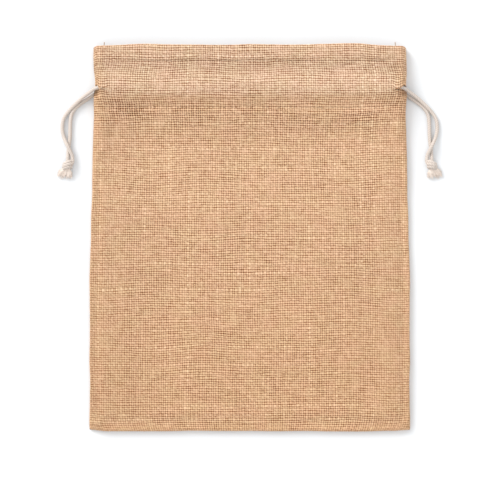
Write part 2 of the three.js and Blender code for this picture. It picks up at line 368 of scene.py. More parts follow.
def thread_finish():
    finish = Finish("thread", 0.8, 0.1)
    along, turn, groove = finish.attribute("ply")
    ply = (along * 2.2 + turn * 2.0).math("SINE") * 0.5 + 0.5
    fibre = finish.noise(along * 0.9, turn * 6.0, 3.0, 2.0)
    tone = ply * 0.5 + fibre * 0.5
    colour = finish.blend(tone.clamped(), (0.34, 0.21, 0.12), (0.56, 0.38, 0.24))
    # painted shade in the grooves between plies
    colour = finish.shade(colour, groove * -0.3 + 1.0)
    finish.paint(colour)
    finish.relief(ply, 0.1 * MM, 0.5)
    return finish.material


def floor_finish():
    finish = Finish("floor", 0.9, specular=0.0)
    finish.paint((0.735, 0.75, 0.765, 1.0))
    return finish.material


# the last colour of each is the painted shadow seen in the weave's holes
JUTE = jute_finish("jute", (0.52, 0.296, 0.168), (0.86, 0.605, 0.396), (0.07, 0.014, 0.004))
# a darker copy of the jute: painted shade for the hems and seam allowances inside the bag
JUTE_INSIDE_SHADED = jute_finish("jute_inside", (0.44, 0.235, 0.12), (0.72, 0.46, 0.27), (0.045, 0.015, 0.006))
COTTON = cotton_finish()
THREAD = thread_finish()
FLOOR = floor_finish()


# ---- meshes ----

def new_object(name, points, faces, material, attributes, normals=None):
    """A mesh object from points in millimetres. faces is an array of quads, or a list of faces."""
    mesh = bpy.data.meshes.new(name)
    if isinstance(faces, np.ndarray):
        mesh.vertices.add(len(points))
        mesh.vertices.foreach_set("co", (np.asarray(points) * MM).astype(np.float32).ravel())
        mesh.loops.add(faces.size)
        mesh.loops.foreach_set("vertex_index", faces.astype(np.int32).ravel())
        mesh.polygons.add(len(faces))
        mesh.polygons.foreach_set("loop_start", np.arange(0, faces.size, 4, dtype=np.int32))
        mesh.update(calc_edges=True)
    else:
        mesh.from_pydata([tuple(p) for p in np.asarray(points) * MM], [], faces)
    mesh.polygons.foreach_set("use_smooth", np.ones(len(mesh.polygons), bool))
    for key, values in attributes.items():
        attribute = mesh.attributes.new(key, "FLOAT_VECTOR", "POINT")
        attribute.data.foreach_set("vector", np.asarray(values, np.float32).ravel())
    if normals is not None:
        mesh.normals_split_custom_set_from_vertices([tuple(n) for n in normals])
    mesh.materials.append(material)
    mesh.validate()
    return placed(name, mesh)


def grid_faces(rows, columns, flipped=False):
    """Quads of a grid of points, row by row."""
    corner = (np.arange(rows - 1)[:, None] * columns + np.arange(columns - 1)[None, :]).ravel()
    quad = np.stack([corner, corner + 1, corner + columns + 1, corner + columns], axis=1)
    return quad[:, ::-1] if flipped else quad


def tube_faces(rings, sides, first=0, closed=False):
    """Quads round a tube of rings of points, and its two ends unless it closes on itself."""
    faces = []
    for ring in range(rings if closed else rings - 1):
        near, far = first + ring * sides, first + (ring + 1) % rings * sides
        for place in range(sides):
            after = (place + 1) % sides
            faces.append([near + place, near + after, far + after, far + place])
    if not closed:
        last = first + (rings - 1) * sides
        faces += [list(range(first, first + sides))[::-1], list(range(last, last + sides))]
    return faces


def grid_normals(points, flipped=False):
    along = np.gradient(points, axis=1)
    up = np.gradient(points, axis=0)
    normal = np.cross(along, up)
    normal /= np.maximum(np.linalg.norm(normal, axis=2, keepdims=True), 1e-9)
    return -normal if flipped else normal


def weave_of(points):
    """Each point's place in threads: two points to a thread."""
    rows, columns = points.shape[:2]
    return np.meshgrid(np.arange(columns) / 2.0, np.arange(rows) / 2.0)


class Sheet:
    """A whole cloth as a grid of points, which is then cut into its pieces."""

    def __init__(self, points, openness_and_light, flipped=False, seed=0.0):
        self.weave = np.dstack([*weave_of(points), np.full(points.shape[:2], seed)])
        self.openness_and_light = np.dstack(openness_and_light)
        self.flipped = flipped
        smooth_normals = grid_normals(points, flipped)
        self.points = points + smooth_normals * self.relief()[..., None]
        self.normals = grid_normals(self.points, flipped)

    def relief(self):
        """Threads stand proud where they cross, and sink where four of them leave a hole."""
        u, v = self.weave[..., 0], self.weave[..., 1]
        warp_middle = np.abs(np.sin(np.pi * u))
        weft_middle = np.abs(np.sin(np.pi * v))
        slub = 1 + 0.15 * lattice_noise(u * 0.9, v * 0.2, 31) + 0.15 * lattice_noise(u * 0.2, v * 0.9, 32)
        return 0.26 * slub * (warp_middle + weft_middle - 1.0)

    def cut(self, name, rows, columns, material, lip=None):
        """One piece of the cloth. lip says which edge row is turned in beside the cords' slit, and where."""
        height, width = self.points[rows, columns].shape[:2]
        faces = grid_faces(height, width, self.flipped)
        points, normals, weave, openness_and_light = (
            grid[rows, columns].reshape(-1, 3) for grid in (self.points, self.normals, self.weave, self.openness_and_light))
        if lip is not None:
            row, apart, open_at = lip
            inside = np.flatnonzero(open_at[columns] > 0.05)
            edge = (height - 1 if row < 0 else 0) * width + inside
            rings = [edge, *len(points) + np.arange(2 * len(inside)).reshape(2, -1)]
            inward = -normals[edge]
            points = np.vstack([points, points[edge] + inward * 0.5, points[edge] + inward + apart])
            facing = np.tile(-apart / np.linalg.norm(apart), (2 * len(inside), 1))
            normals = np.vstack([normals, facing])
            weave, openness_and_light = (np.vstack([values, values[edge], values[edge]]) for values in (weave, openness_and_light))
            for near, far in zip(rings, rings[1:]):
                quads = np.stack([near[:-1], near[1:], far[1:], far[:-1]], axis=1)
                faces = np.vstack([faces, quads[:, ::-1] if row < 0 else quads])
        return new_object(name, points, faces, material, {"weave": weave, "openness_and_light": openness_and_light}, normals)


# ---- the shape of the cloth ----

def half_width(y):
    drawn_in = WAIST * bump(CORD_Y + 1, 8, y)
    return HALF_WIDTH - TAPER * smooth(-60, 125, y) - drawn_in


def casing(y):
    """0 at the stitch rows, 1 over the cords."""
    return plateau(LOWER_ROW, CORD_Y - CREST, CORD_Y + CREST, UPPER_ROW, y)


def front_top(y):
    row = BODY_TOP + (ROW_TOP - BODY_TOP) * smooth(HEM_EDGE - 7, HEM_EDGE - 1, y)
    return row + (CASING_TOP - ROW_TOP) * casing(y)


FOLD_RUN = 4  # the last of a profile, which turns back at the mouth


def evenly(path, pitch, through):
    """Points at even steps along a path of (y, z), one of them at y = through, and that one's number."""
    run = run_along(path)
    turned_back = run > run[-1] - FOLD_RUN
    middle = run[np.argmin(np.where(turned_back, np.inf, np.abs(path[:, 0] - through)))]
    low = np.linspace(0, middle, max(2, round(middle / pitch)) + 1)
    high = np.linspace(middle, run[-1], max(2, round((run[-1] - middle) / pitch)) + 1)
    places = np.concatenate([low, high[1:]])
    return points_at(places, run, path), len(low) - 1


def profile(y, z, height, turn):
    """Up the middle of a cloth: round the bottom, along the body, and round the mouth fold, down or up."""
    straight = np.linspace(y[-1], MOUTH_Y - FOLD, 1600)[1:]
    fold = np.linspace(0, np.pi, 24)[1:]
    path_y = np.concatenate([y, straight, MOUTH_Y - FOLD + FOLD * np.sin(fold)])
    path_z = np.concatenate([z, height(straight), height(MOUTH_Y) + turn * FOLD * (1 - np.cos(fold))])
    return np.stack([path_y, path_z], axis=1)


def front_profile():
    angle = np.linspace(0, np.pi / 2, 40)
    y = BOTTOM_Y + BOTTOM_ROUND * (1 - np.cos(angle))
    z = SEAM_Z + (BODY_TOP - SEAM_Z) * np.sin(angle) ** 0.85
    return profile(y, z, front_top, -1)


def across_row(y, z, steps):
    """One row of the front from the middle to the side: flat, then rounded down to the seam."""
    half = half_width(y)
    side = SIDE_ROUND + (HEADER_ROUND - SIDE_ROUND) * smooth(70, HEM_EDGE, y)
    angle = np.linspace(0, np.pi / 2, 30)
    path_x = np.concatenate([[0], half - side + side * np.sin(angle) ** 0.9])
    path_z = np.concatenate([[z], SEAM_Z + (z - SEAM_Z) * np.cos(angle) ** 0.85])
    run = np.concatenate([[0], np.cumsum(np.hypot(np.diff(path_x), np.diff(path_z)))])
    places = np.linspace(0, run[-1], steps + 1)
    return np.interp(places, run, path_x), np.interp(places, run, path_z)


HALF_COLUMNS = 145  # of the front, each side of its middle


def front_grid(places, half_columns):
    """Points of the whole front, one row for each place in its profile."""
    rows = []
    for y, z in places:
        x, height = across_row(y, z, half_columns)
        x, height = np.concatenate([-x[:0:-1], x]), np.concatenate([height[:0:-1], height])
        rows.append(np.stack([x, np.full_like(x, y), height], axis=1))
    return np.array(rows)


SLACK = 0.004  # how much longer the front is than the way across it
MOST_SAG = 4.2
DRAPE_PITCH = 5.0
DRAPE_HALF = 27  # columns of the coarse cloth, each side of its middle
DRAPE_FRAMES = 36
DRAPE_CLOTH = dict(quality=6, mass=0.02, tension_stiffness=8, compression_stiffness=8, shear_stiffness=2,
                   bending_stiffness=0.2)
FOLD_ROWS = 40  # the fine cloth's last rows, round the mouth fold, don't sag
ABOVE_SEAMS = 4.6  # the cloth stays this high over the seam allowances


def drape(points):
    """The front let go: a coarse cloth, held at its seams and its hem, sinks under its own weight."""
    coarse = front_grid(evenly(front_profile(), DRAPE_PITCH, NECK_Y)[0], DRAPE_HALF)
    coarse = coarse[coarse[:, 0, 1] <= HEM_EDGE]
    rows, columns = coarse.shape[:2]
    cloth = new_object("drape_cloth", coarse.reshape(-1, 3), grid_faces(rows, columns), JUTE, {})
    held = cloth.vertex_groups.new(name="held")
    border = np.ones((rows, columns), bool)
    border[1:-2, 1:-1] = False
    held.add(np.flatnonzero(border).tolist(), 1.0, "REPLACE")
    sim = cloth.modifiers.new("cloth", "CLOTH")
    sim.settings.vertex_group_mass = "held"
    sim.settings.shrink_min = -SLACK
    for name, value in DRAPE_CLOTH.items():
        setattr(sim.settings, name, value)
    sim.collision_settings.use_collision = False
    scene = bpy.context.scene
    for moment in range(1, DRAPE_FRAMES + 1):
        scene.frame_set(moment)
    fallen = cloth.evaluated_get(bpy.context.evaluated_depsgraph_get()).to_mesh()
    places = np.empty(rows * columns * 3, np.float32)
    fallen.vertices.foreach_get("co", places)
    bpy.data.objects.remove(cloth)
    scene.frame_set(1)

    sag = places.reshape(rows, columns, 3)[..., 2] / MM - coarse[..., 2]
    sag = MOST_SAG * np.tanh(sag / MOST_SAG)
    place = np.linspace(0, columns - 1, points.shape[1])
    across = np.array([np.interp(place, np.arange(columns), row) for row in sag])
    y = points[:, 0, 1]
    body = np.flatnonzero((y < coarse[-1, 0, 1]) & (np.arange(len(y)) < len(y) - FOLD_ROWS))
    for column in range(points.shape[1]):
        points[body, column, 2] += np.interp(y[body], coarse[:, 0, 1], across[:, column])
    return points


def front_sheet():
    places, neck = evenly(front_profile(), WEFT / 2, NECK_Y)
    points = front_grid(places, HALF_COLUMNS)
    taut = points[..., 2].copy()
    points = drape(points)
    points[..., 2] = np.maximum(points[..., 2], np.minimum(taut, ABOVE_SEAMS))
    points, open_at = shape_cloth(points, neck)
    return points, neck, open_at


def shape_outline(points):
    """Threads that are never quite straight or evenly spaced, rounded corners, and edges that waver."""
    x, y = points[..., 0].copy(), points[..., 1].copy()
    column, row = weave_of(points)
    off_neck = smooth(0, 5, np.abs(y - NECK_Y))
    share = np.clip(np.abs(x) / half_width(y), 0, 1)
    within = 1 - smooth(0.97, 1.0, share)
    off_ends = plateau(BOTTOM_Y, BOTTOM_Y + 6, MOUTH_Y - 6, MOUTH_Y, y)

    drift = 0.5 * lattice_noise(x / 42, y / 30, 1) + 0.32 * lattice_noise(column, row / 9, 2)
    points[..., 0] += within * drift
    sag = 1.1 * lattice_noise(x / 38, y / 44, 3) + 0.38 * lattice_noise(column / 9, row, 4)
    points[..., 1] += off_neck * off_ends * sag

    # the mouth's edge: rounded corners, a rise inside each of them, and a waver
    high = smooth(118, MOUTH_Y, y)
    corner = np.clip((np.abs(x) - (half_width(y) - 3.6)) / 3.6, 0, 1)
    points[..., 1] -= high * (2.2 * (1 - np.sqrt(1 - 0.98 * corner ** 2)) + 1.1 * smooth(84, 118, np.abs(x)))
    rise = 0.7 * (bump(-80, 16, x) + bump(79, 16, x)) - 0.3
    points[..., 1] += high * (rise + 0.3 * lattice_noise(x / 14, 0, 5))

    # the bottom and side edges, and the waist, where the right cord draws in less
    low = 1 - smooth(BOTTOM_Y, BOTTOM_Y + 34, y)
    points[..., 1] += 1.1 * low * smooth(HALF_WIDTH - 14, HALF_WIDTH, np.abs(x))
    points[..., 1] += low * 0.35 * lattice_noise(x / 22, 0, 6)
    points[..., 0] += np.sign(x) * smooth(0.9, 1.0, share) * 0.35 * lattice_noise(0, y / 16, 7)
    points[..., 0] += 1.4 * bump(122, 15, y) * smooth(0.5, 1.0, share) * (x > 0)
    return x, y


def shape_cloth(points, neck):
    """The front's outline and wrinkles, and the upper edges of its two slits."""
    x, y = shape_outline(points)
    above = weave_of(points)[1] - neck / 2.0
    points[..., 2] += smooth(SEAM_Z, SEAM_Z + 4, points[..., 2]) * wrinkles(x, y)
    open_at = np.zeros(points.shape[1])
    fading = np.where(above >= 0, np.exp(-above / 3.2), 0)
    # how far the edge covers each cord, and where the cord comes out
    for side, cover, end in ((-1, 1.2, MOUTH_OUT - 0.6), (1, 2.2, MOUTH_OUT - 2.0)):
        out = side * x
        flap = plateau(110, 113, end - 0.7, end + 0.9, out)
        lift = smooth(MOUTH_OUT - 0.6, MOUTH_OUT + 0.9, out) * (1.9 - 1.0 * smooth(118.6, 121.4, out))
        points[..., 1] += (lift - cover * flap) * fading
        points[..., 2] += 0.7 * flap * fading
        open_at = np.maximum(open_at, smooth(SLIT_IN - 1.5, SLIT_IN + 3.5, out)[neck])
    return points, open_at


def wrinkles(x, y):
    """How far the cloth rises and falls: slow waves, puckers along the stitch rows, and a few creases."""
    body = plateau(BOTTOM_Y, BOTTOM_Y + 30, 80, 98, y)
    waves = 0.7 * lattice_noise(x / 55, y / 60, 11) + 0.3 * lattice_noise(x / 24, y / 30, 12)
    pucker = 0.30 * bump(LOWER_ROW, 9, y) * lattice_noise(x / 4.2, y / 26, 13)
    pucker += 0.22 * bump(UPPER_ROW, 8, y) * lattice_noise(x / 4.8, y / 22, 14)
    grooves = -0.45 * bump(LOWER_ROW - 0.8, 1.4, y) - 0.35 * bump(UPPER_ROW + 0.8, 1.3, y)
    mouth = 0.7 * smooth(126, MOUTH_Y, y) * lattice_noise(x / 34, 0, 15)
    return body * waves + pucker + grooves + mouth + creases(x, y)


def crease(x, y, start, end, width, depth):
    """A straight fold line, deepest in its middle."""
    (x0, y0), (x1, y1) = start, end
    length = math.hypot(x1 - x0, y1 - y0)
    along = ((x - x0) * (x1 - x0) + (y - y0) * (y1 - y0)) / length
    aside = ((y - y0) * (x1 - x0) - (x - x0) * (y1 - y0)) / length
    return depth * plateau(-6, 6, length - 6, length + 6, along) * bump(0, width, aside)


def creases(x, y):
    total = crease(x, y, (-3.5, 10), (-4.5, -42), 2.2, -0.4)
    total += crease(x, y, (1.5, 10), (0.5, -42), 3.5, 0.35)
    for side in (-1, 1):
        total += crease(side * x, y, (92, 141), (68, 130), 3.0, -0.6)
    return total


def lower_lip(points, neck):
    """The body beside each slit: its free edge lies over the back strand and under the front one."""
    shaped = points.copy()
    body, lip = points[: neck + 1], shaped[: neck + 1]
    x, y = body[..., 0], body[..., 1]
    depth = (neck - np.arange(neck + 1))[:, None] / 2.0
    for side, raised in ((-1, 0.9), (1, 0.6)):
        out = side * x
        lip[..., 1] += raised * plateau(113, 114.5, 117, 119, out) * np.exp(-depth / 4.0)
        resting = 7.9 - 2.4 * smooth(117.5, 121.5, out)
        free = smooth(108.5, 113, y) * smooth(116.2, 118.6, out)
        lip[..., 2] += (resting - body[..., 2]) * free
    return shaped


def openness_and_light_of(points, front=True):
    """How open the weave is, its painted light and shade, and how much cooler tint it takes, at each point.
    """
    x, y = points[..., 0], points[..., 1]
    out = np.abs(x)
    slit = bump(119.5, 2.6, out) * bump(121.5, 3.2, y) + bump(118, 4, out) * bump(113.5, 2.4, y)
    header = smooth(108, 116, y)
    crest = plateau(114, 120, 125, 132, y)

    # closed over the seam allowances, open in patches along the stitch rows and where a cord pulls
    allowances = smooth(94, 104, out) * (1 - smooth(95, 103, y))
    rows = bump(96, 8, y) + 0.6 * bump(UPPER_ROW, 4, y)
    patches = 0.5 + 0.5 * lattice_noise(x / 22, y / 9, 21)
    pulled = 0.95 * bump(-100, 13, x) * bump(102, 8, y) + 0.35 * slit
    # where the weave is more open, more of the painted shadow in its holes shows
    openness = USUAL_OPENNESS - 0.35 * allowances + 0.80 * rows * patches + pulled
    openness += 0.2 * lattice_noise(x / 14, y / 10, 22)
    if not front:
        openness *= 0.6

    # painted light and shade: paler along the casing's crest where it faces the light, towards the mouth, and
    # a painted highlight on the mouth's fold;
    # painted shade in the stitch rows, in the band under the casing and beside the slits; darker towards the
    # sides, and towards the bottom where the light falls off
    painted_light = 0.955 + 0.05 * smooth(-30, 50, y) + 0.055 * crest + 0.05 * smooth(146, 151, y)
    painted_light -= 0.135 * bump(UPPER_ROW - 4.5, 6.0, y) + 0.05 * bump(LOWER_ROW + 11, 3.5, y)
    painted_light -= 0.035 * bump(LOWER_ROW, 4.5, y) + 0.07 * bump(-101, 18, x) * bump(LOWER_ROW, 9, y)
    painted_light -= (0.045 * smooth(60, 100, -x) + 0.025 * smooth(60, 100, x)) * (1 - smooth(80, 100, y))
    painted_light -= 0.02 * smooth(60, 120, -y) + 0.03 * smooth(98, 112, out)
    # painted light at the rims: paler where the sides round off and where the header's right side falls away,
    # to offset their shade
    rim = smooth(half_width(y) - 6, half_width(y) - 0.5, x) + smooth(BOTTOM_Y + 6, BOTTOM_Y + 1, y)
    painted_light += 0.12 * rim + 0.10 * header * smooth(114, 119, x)
    painted_light -= 0.09 * slit + 0.035 * header * smooth(113, 118, out)

    # a cooler, greyer tint over the header and the casing's crest, less of it beside the slits
    warmer = np.clip(0.7 * slit + 0.35 * smooth(112, 118, out), 0, 1)
    cooler = (0.3 * smooth(-150, 60, y) + 0.6 * header + 0.1 * crest) * (1 - warmer)
    return openness, painted_light, cooler


BLEND_ACROSS = 125.0  # from the middle, where cloth stays still, to the side, which the cord moves
BLEND_BODY = 110.0  # how far down the body the gathering reaches
BLEND_FRILL = 95.0  # and how slowly it opens out again above the cords


def gather(piece, side, reach):
    """Bakes a piece's placement into its mesh. The slope by which its side's cloth would follow a pulled
    drawstring is worked out but not applied.
    """
    slope = np.array([side / BLEND_ACROSS, 1 / reach, 0]) / MM
    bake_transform(piece)


def dress(piece, node, side=0, reach=None):
    """Hides the CAD part that a piece of the bag stands for, and parents the piece to the bag, or, given a
    reach, bakes its placement.
    """
    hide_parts(node)
    if reach is None:
        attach(piece, "bag")
    else:
        gather(piece, side, reach)


def half_of(side, half_columns):
    """A cloth's columns left or right of its middle, the middle one included."""
    return slice(0, half_columns + 1) if side < 0 else slice(half_columns, 2 * half_columns + 1)


def quarters(where, body, frill, neck, half_columns, lips=(None, None)):
    """A cloth's four pieces: left and right of its middle, below and above the slits."""
    spans = slice(0, neck + 1), slice(neck, len(body.points))
    for name, side in SIDES:
        for part, cloth, span, reach, lip in zip(
                ("body", "frill"), (body, frill), spans, (BLEND_BODY, -BLEND_FRILL), lips):
            piece = cloth.cut(f"{where}_{part}_{name}", span, half_of(side, half_columns), JUTE, lip)
            dress(piece, f"{where}_panel", side, reach)


LIP = 1.6  # how wide the cloth is turned in at the slits


def front_pieces():
    points, neck, open_at = front_sheet()
    body = Sheet(lower_lip(points, neck), openness_and_light_of(points))
    frill = Sheet(points, openness_and_light_of(points))
    lips = [(side, np.array([0, side * LIP, 0]), open_at) for side in (-1, 1)]
    quarters("front", body, frill, neck, HALF_COLUMNS, lips)


BACK_Z = 0.32  # the back cloth, just off the ground
BACK_CURL = 3.0  # how far in its edges start to turn up to the seam


def back_height(y):
    return np.full_like(y, BACK_Z)


def back_pieces():
    angle = np.linspace(0, np.pi / 2, 10)
    curl_y = BOTTOM_Y + BACK_CURL * (1 - np.cos(angle))
    curl_z = SEAM_Z - (SEAM_Z - BACK_Z) * np.sin(angle)
    places, neck = evenly(profile(curl_y, curl_z, back_height, 1), WEFT / 2, NECK_Y)
    half_columns = round(HALF_WIDTH / (WARP / 2))
    y, z = places[:, :1], places[:, 1:]
    x = np.linspace(-1, 1, 2 * half_columns + 1) * half_width(y)
    turned = np.clip((np.abs(x) - (half_width(y) - BACK_CURL)) / BACK_CURL, 0, 1)
    height = z + (SEAM_Z - BACK_Z) * (1 - np.sqrt(1 - turned ** 2)) * (z < SEAM_Z)
    points = np.dstack([x, np.broadcast_to(y, x.shape), np.minimum(height, np.maximum(SEAM_Z, z))])
    shape_outline(points)
    cloth = Sheet(points, openness_and_light_of(points, front=False), flipped=True, seed=40.0)
    quarters("back", cloth, cloth, neck, half_columns)


def hem_pieces(where, height, flipped, seed):
    """A turned-in hem from the mouth fold to its raw edge. height(x, y) is its visible face."""
    rows = round((MOUTH_Y - FOLD - HEM_EDGE) / (WEFT / 2))
    half_columns = round(HEM_HALF / (WARP / 2))
    y, x = np.meshgrid(np.linspace(HEM_EDGE, MOUTH_Y - FOLD, rows + 1),
                       np.linspace(-HEM_HALF, HEM_HALF, 2 * half_columns + 1), indexing="ij")
    points = np.dstack([x, y, height(x, y)])
    shape_outline(points)
    raw = 1 - smooth(HEM_EDGE, HEM_EDGE + 3, y)
    points[..., 1] += raw * 0.7 * lattice_noise(x / 1.8, 0, seed)
    cloth = Sheet(points, openness_and_light_of(points, front=False), flipped, float(seed))
    for name, side in SIDES:
        piece = cloth.cut(f"{where}_hem_{name}", slice(0, rows + 1), half_of(side, half_columns), JUTE_INSIDE_SHADED)
        dress(piece, f"{where}_hem", side, -BLEND_FRILL)


def front_hem_height(x, y):
    return HEM_LOW[2] + 0.26 + wrinkles(x, y) * 0.8


def back_hem_height(x, y):
    rows, crest = BACK_Z + 2 * FOLD, BACK_HEM_TOP - 0.2
    return rows + (crest - rows) * casing(y)


# ---- seam allowances: two cloths turned in together ----

def allowance(name, side, reach):
    """A flat strip with rounded, slightly frayed sides, which fills its CAD box."""
    low, high = box_mm(name)
    along = 0 if high[0] - low[0] > high[1] - low[1] else 1
    wide = 1 - along
    places = np.linspace(low[along], high[along], round((high[along] - low[along]) / WEFT) + 1)
    middle, half = (low + high) / 2, (high - low) / 2
    size = 28
    angle = np.linspace(0, 2 * np.pi, size + 1)[:-1]
    round_x = np.sign(np.cos(angle)) * np.abs(np.cos(angle)) ** 0.35
    round_z = np.sign(np.sin(angle)) * np.abs(np.sin(angle)) ** 0.7
    points, weave = [], []
    for number, place in enumerate(places):
        fray = 0.4 * lattice_noise(place / 2.5, angle * 0.7, 51)
        ring = np.zeros((size, 3))
        ring[:, along] = place
        ring[:, wide] = middle[wide] + round_x * (half[wide] - 0.4 + fray)
        ring[:, 2] = middle[2] + round_z * (half[2] - 0.1)
        points.append(ring)
        across = round_x * half[wide] / WARP
        weave.append(np.column_stack([np.full(size, number + 0.5), across, np.full(size, 60)]))
    faces = tube_faces(len(places), size)
    if along == 1:
        faces = [face[::-1] for face in faces]
    # allowances: a little open, a touch of painted shade, half the cooler tint
    openness_and_light = np.tile([0.1, 0.95, 0.5], (size * len(places), 1))
    piece = new_object(f"{name}_cloth", np.vstack(points), faces, JUTE_INSIDE_SHADED,
                       {"weave": np.vstack(weave), "openness_and_light": openness_and_light})
    dress(piece, name, side, reach)


# ---- ropes, threads and fibres ----

def spline(points, step):
    """A centripetal Catmull-Rom curve through points, in even steps, and its length."""
    points = np.asarray(points, float)
    ends = [2 * points[0] - points[1], *points, 2 * points[-1] - points[-2]]
    fine = []
    for four in zip(ends, ends[1:], ends[2:], ends[3:]):
        gaps = [max(np.linalg.norm(b - a), 1e-6) ** 0.5 for a, b in zip(four, four[1:])]
        knots = np.cumsum([0, *gaps])
        t = np.linspace(knots[1], knots[2], 24)[:-1, None]

        def mix(low, high, first, second):
            share = (t - knots[low]) / (knots[high] - knots[low])
            return (1 - share) * first + share * second

        lines = [mix(k, k + 1, four[k], four[k + 1]) for k in range(3)]
        fine.append(mix(1, 2, mix(0, 2, lines[0], lines[1]), mix(1, 3, lines[1], lines[2])))
    fine = np.vstack([*fine, points[-1:]])
    run = run_along(fine)
    places = np.linspace(0, run[-1], max(2, round(run[-1] / step)) + 1)
    return points_at(places, run, fine), run[-1]


def frames(path, closed=False):
    """Two directions across a path at each point, turned as little as possible from one point to the next."""
    if closed:
        tangent = np.roll(path, -1, axis=0) - np.roll(path, 1, axis=0)
    else:
        tangent = np.gradient(path, axis=0)
    tangent /= np.linalg.norm(tangent, axis=1, keepdims=True)
    side = np.cross(tangent[0], [0, 0, 1.0])
    if np.linalg.norm(side) < 0.1:
        side = np.cross(tangent[0], [0, 1.0, 0])
    sides = []
    for direction in tangent:
        side = side - direction * side.dot(direction)
        side = side / np.linalg.norm(side)
        sides.append(side)
    sides = np.array(sides)
    return sides, np.cross(tangent, sides)


class Strands:
    """Tubes gathered into one mesh, each with its own plies twisted round its path."""

    def __init__(self):
        self.points, self.faces, self.ply, self.count = [], [], [], 0

    def add(self, path, radius, sides=8, plies=0, pitch=5.5, depth=0.0, closed=False, tapers=(1.0, 1.0),
            phase=0.0, shade=0.0):
        """depth is how far the grooves between plies go in. shade is painted shade that darkens a tube; below
        0 it paints it paler.
        """
        path = np.asarray(path, float)
        across, up = frames(path, closed)
        run = run_along(path)
        twist = 2 * np.pi * (run / pitch) + phase
        if closed:
            twist = 2 * np.pi * round(run[-1] / pitch) * np.arange(len(path)) / len(path)
        angle = np.linspace(0, 2 * np.pi, sides + 1)[:-1]
        share = run / run[-1]
        width = radius * (tapers[0] + (tapers[1] - tapers[0]) * share)
        turn = angle - twist[:, None]
        groove = np.abs(np.sin(turn * plies / 2)) ** 6 if plies else np.zeros_like(turn)
        reach = width[:, None] * (1 - depth * groove * bool(plies))
        ring = (path[:, None] + across[:, None] * (np.cos(angle) * reach)[..., None]
                + up[:, None] * (np.sin(angle) * reach)[..., None])
        self.points.append(ring.reshape(-1, 3))
        along = np.broadcast_to(run[:, None] + phase * 7, turn.shape)
        self.ply.append(np.dstack([along, np.sin(turn) + phase, groove + shade]).reshape(-1, 3))
        self.faces += tube_faces(len(path), sides, self.count, closed)
        self.count += len(path) * sides
        return self

    def build(self, name, material):
        return new_object(name, np.vstack(self.points), self.faces, material, {"ply": np.vstack(self.ply)})


# ---- stitching ----

STITCH = 3.0  # one stitch and the gap after it
STITCH_SHARE = 0.78
STITCH_THREAD = 0.27  # thread's half thickness
STITCH_RISE = np.array([-0.55, -0.05, 0.12, 0.16, 0.12, -0.05, -0.55])  # from where it leaves the cloth


def stitches(name, node, start, end, height, side, reach):
    """A run of lockstitches: each thread rises out of the cloth, lies along it and dips back in."""
    start, end = np.array(start, float), np.array(end, float)
    count = round(np.linalg.norm(end - start) / STITCH)
    run = Strands()
    for number in range(count):
        t = (number + np.linspace(0.02, STITCH_SHARE, len(STITCH_RISE))) / count
        flat = start + (end - start) * t[:, None]
        flat[:, 0] += 0.07 * math.sin(number * 2.3)
        flat[:, 1] += 0.09 * math.sin(number * 1.7)
        path = np.column_stack([flat, height(flat[:, 0], flat[:, 1]) + STITCH_RISE])
        run.add(path, STITCH_THREAD, 8, 2, 1.6, 0.18, phase=number * 0.37)
    dress(run.build(name, THREAD), node, side, reach)


def on_front(x, y):
    return ROW_TOP + wrinkles(x, y) + 0.12


def on_back(x, y):
    return np.full_like(x, BACK_Z + 2 * FOLD + 0.25)


def on_allowance(x, y):
    return np.full_like(x, SEAM_Z + 2 * CLOTH + 0.55)


def seam_stitches(node, along, side, reach):
    """The row that closes a seam, along the middle of the node it stands for."""
    low, high = box_mm(node)
    across = 1 - along
    low[across] = high[across] = (low[across] + high[across]) / 2
    stitches(f"{node}_run", node, low[:2], high[:2], on_allowance, side, reach)


def all_stitching():
    rows = (("lower", LOWER_ROW - 0.8, BLEND_BODY), ("upper", UPPER_ROW + 0.8, -BLEND_FRILL))
    for name, side in SIDES:
        for where, height in (("front", on_front), ("back", on_back)):
            for row, y, reach in rows:
                node = f"{where}_{row}_stitching"
                start, end = (side * 0.5, y), (side * HEM_HALF, y)
                stitches(f"{node}_{name}", node, start, end, height, side, reach)
        seam_stitches(f"{name}_side_stitching", 1, side, BLEND_BODY)
        for row, _, reach in rows:
            tack(f"{name}_{row}_tack", side, reach)
    seam_stitches("bottom_stitching", 0, 0, None)


def tack(node, side, reach):
    """A bar tack: threads laid close together. The upper one has a loose end, which shows at the mouth."""
    low, high = box_mm(node)
    bar = Strands()
    threads = 11
    for number in range(threads):
        y = low[1] + (high[1] - low[1]) * (number + 0.5) / threads
        x = np.linspace(low[0], high[0], 6)
        z = low[2] + 0.15 + 0.4 * np.sin(np.linspace(0, np.pi, 6))
        bar.add(np.column_stack([x, np.full(6, y), z]), 0.2, 8, 2, 1.4, 0.15, phase=number)
    if "upper" in node:
        t = np.linspace(0, 1, 7)
        loose = np.column_stack([side * (114.8 - 0.9 * t), MOUTH_Y - 4 + 6 * t, SEAM_Z + 2.6 + 1.2 * t * t])
        bar.add(loose, 0.3, 8, 2, 1.4, 0.15)
    dress(bar.build(f"{node}_threads", THREAD), node, side, reach)


# ---- the drawstrings ----

CORD = 2.7  # diameter
PLUMP = 1.06  # the loose cotton stands proud of the cord's own size
CORD_PITCH = 3.2  # between the two drawstrings in the casing
LOOP_OUT = 112.5  # a loop's ends, from the middle
LOOP_FAR = 106.5  # where it turns back, on the other side
BACK_RUN_Z = 2.35
FRONT_RUN_Z = 11.35
ROPE = dict(sides=24, plies=3, pitch=5.2, depth=0.12)

